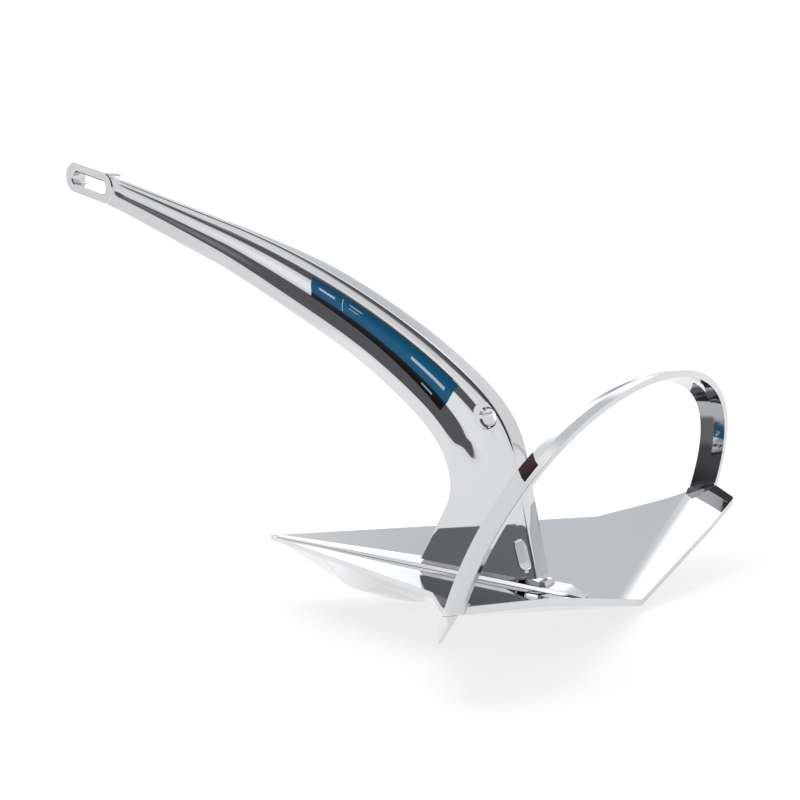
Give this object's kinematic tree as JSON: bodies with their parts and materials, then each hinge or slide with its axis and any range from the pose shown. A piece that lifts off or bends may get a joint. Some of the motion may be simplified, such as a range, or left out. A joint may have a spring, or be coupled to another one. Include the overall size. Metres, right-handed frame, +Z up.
{
  "type": "boat anchor",
  "caption": "Scoop-fluke boat anchor with an arched slotted shank, ballasted toe and a roll bar, in mirror-polished stainless steel.",
  "frame": {"origin": "centre of the bounding box's footprint, on the floor the anchor stands on", "axes": "+X toward the toe and the shackle eye, +Y to port, +Z up"},
  "size_m": [0.7822, 0.415, 0.57],
  "materials": {
    "polished_stainless": "mirror polished",
    "weld_metal": "polished weld bead",
    "label_film": "printed gloss film",
    "sticker_film": "printed gloss film"
  },
  "bodies": {
    "root": {"shank": "polished_stainless", "fluke_port": "polished_stainless", "fluke_starboard": "polished_stainless", "centre_rib": "polished_stainless", "toe_nose": "polished_stainless", "keel_ballast": "polished_stainless", "roll_bar": "polished_stainless", "skid_port": "polished_stainless", "skid_starboard": "polished_stainless", "shank_weld_port": "weld_metal", "shank_weld_starboard": "weld_metal", "shank_weld_heel": "weld_metal", "bar_weld_port": "weld_metal", "bar_weld_starboard": "weld_metal", "label_port": "label_film", "label_starboard": "label_film", "bar_sticker": "sticker_film"}
  },
  "joints": []
}
